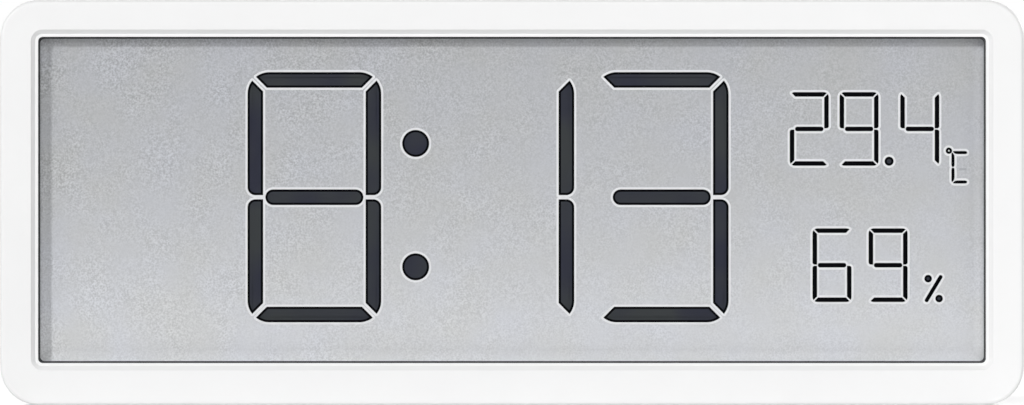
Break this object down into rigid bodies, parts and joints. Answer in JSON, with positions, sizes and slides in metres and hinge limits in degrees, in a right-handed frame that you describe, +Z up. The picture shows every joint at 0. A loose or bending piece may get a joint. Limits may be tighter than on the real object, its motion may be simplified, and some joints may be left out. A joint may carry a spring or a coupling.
{
  "type": "thermometer hygrometer clock",
  "caption": "Slim white clock with a wide display of time, temperature and humidity, a fold-out leg, a sliding battery door and setting buttons in its back.",
  "frame": {"origin": "middle of the flat bottom edge that the clock stands on", "axes": "+X to the right for someone who reads the display, -Y the way the display faces, +Z up"},
  "size_m": [0.155, 0.011, 0.0613],
  "materials": {
    "case_white": "fine satin moulding",
    "gasket_black": "matt foam tape",
    "window_acrylic": "clear hard-coated acrylic",
    "polarizer_film": "clear grey film",
    "cell_glass": "clear thin glass",
    "seal_epoxy": "cured epoxy",
    "rear_cell_glass": "glass backed by the silvery film",
    "reflector_film": "brushed silver film",
    "dark_crystal": "darkened liquid crystal",
    "connector_rubber": "pink silicone with a black core",
    "carrier_white": "moulded",
    "board_green": "solder mask over glass laminate",
    "chip_epoxy": "moulded epoxy",
    "crystal_can": "drawn can",
    "capacitor_ceramic": "fired ceramic with tinned ends",
    "sensor_package": "moulded epoxy",
    "collar_foam": "open foam",
    "switch_black": "moulded",
    "plunger_grey": "moulded",
    "button_grey": "satin moulding",
    "cell_steel": "bright rolled steel",
    "contact_nickel": "nickel-plated spring strip",
    "foot_rubber": "matt grey rubber",
    "pin_steel": "ground steel",
    "magnet_nickel": "nickel plate",
    "screw_steel": "zinc-plated steel"
  },
  "bodies": {
    "case": {"front_frame": "case_white", "window_gasket": "gasket_black", "display_window": "window_acrylic", "front_polarizer": "polarizer_film", "front_glass": "cell_glass", "glass_seal": "seal_epoxy", "rear_glass": "rear_cell_glass", "reflector": "reflector_film", "hour_digit": "dark_crystal", "minute_tens_digit": "dark_crystal", "minute_ones_digit": "dark_crystal", "colon_dots": "dark_crystal", "temperature_digits": "dark_crystal", "temperature_unit": "dark_crystal", "humidity_digits": "dark_crystal", "humidity_unit": "dark_crystal", "elastomer_connector": "connector_rubber", "display_carrier": "carrier_white", "circuit_board": "board_green", "controller_chip": "chip_epoxy", "quartz_crystal": "crystal_can", "board_capacitors": "capacitor_ceramic", "humidity_sensor": "sensor_package", "sensor_collar": "collar_foam", "down_switch": "switch_black", "up_switch": "switch_black", "mode_switch": "switch_black", "coin_cell_left": "cell_steel", "coin_cell_right": "cell_steel", "positive_contact": "contact_nickel", "negative_contact_left": "contact_nickel", "negative_contact_right": "contact_nickel", "rear_cover": "case_white", "stand_pin": "pin_steel", "magnet_left": "magnet_nickel", "magnet_right": "magnet_nickel", "case_screws": "screw_steel"},
    "stand_leg": {"stand_leg": "case_white", "stand_foot": "foot_rubber"},
    "battery_door": {"battery_door": "case_white"},
    "down_button": {"down_button": "button_grey", "down_plunger": "plunger_grey"},
    "up_button": {"up_button": "button_grey", "up_plunger": "plunger_grey"},
    "mode_button": {"mode_button": "button_grey", "mode_plunger": "plunger_grey"}
  },
  "joints": [
    {"name": "leg_hinge", "type": "hinge", "parent": "case", "child": "stand_leg", "pos_m": [0, 0.0038, 0.0435], "axis": [1, 0, 0], "range_deg": [0, 35]},
    {"name": "door_slide", "type": "slide", "parent": "case", "child": "battery_door", "axis": [1, 0, 0], "range_m": [0, 0.046]},
    {"name": "down_press", "type": "slide", "parent": "case", "child": "down_button", "axis": [0, -1, 0], "range_m": [0, 0.0003], "stiffness_N_per_m": 500},
    {"name": "up_press", "type": "slide", "parent": "case", "child": "up_button", "axis": [0, -1, 0], "range_m": [0, 0.0003], "stiffness_N_per_m": 500},
    {"name": "mode_press", "type": "slide", "parent": "case", "child": "mode_button", "axis": [0, -1, 0], "range_m": [0, 0.0003], "stiffness_N_per_m": 500}
  ]
}
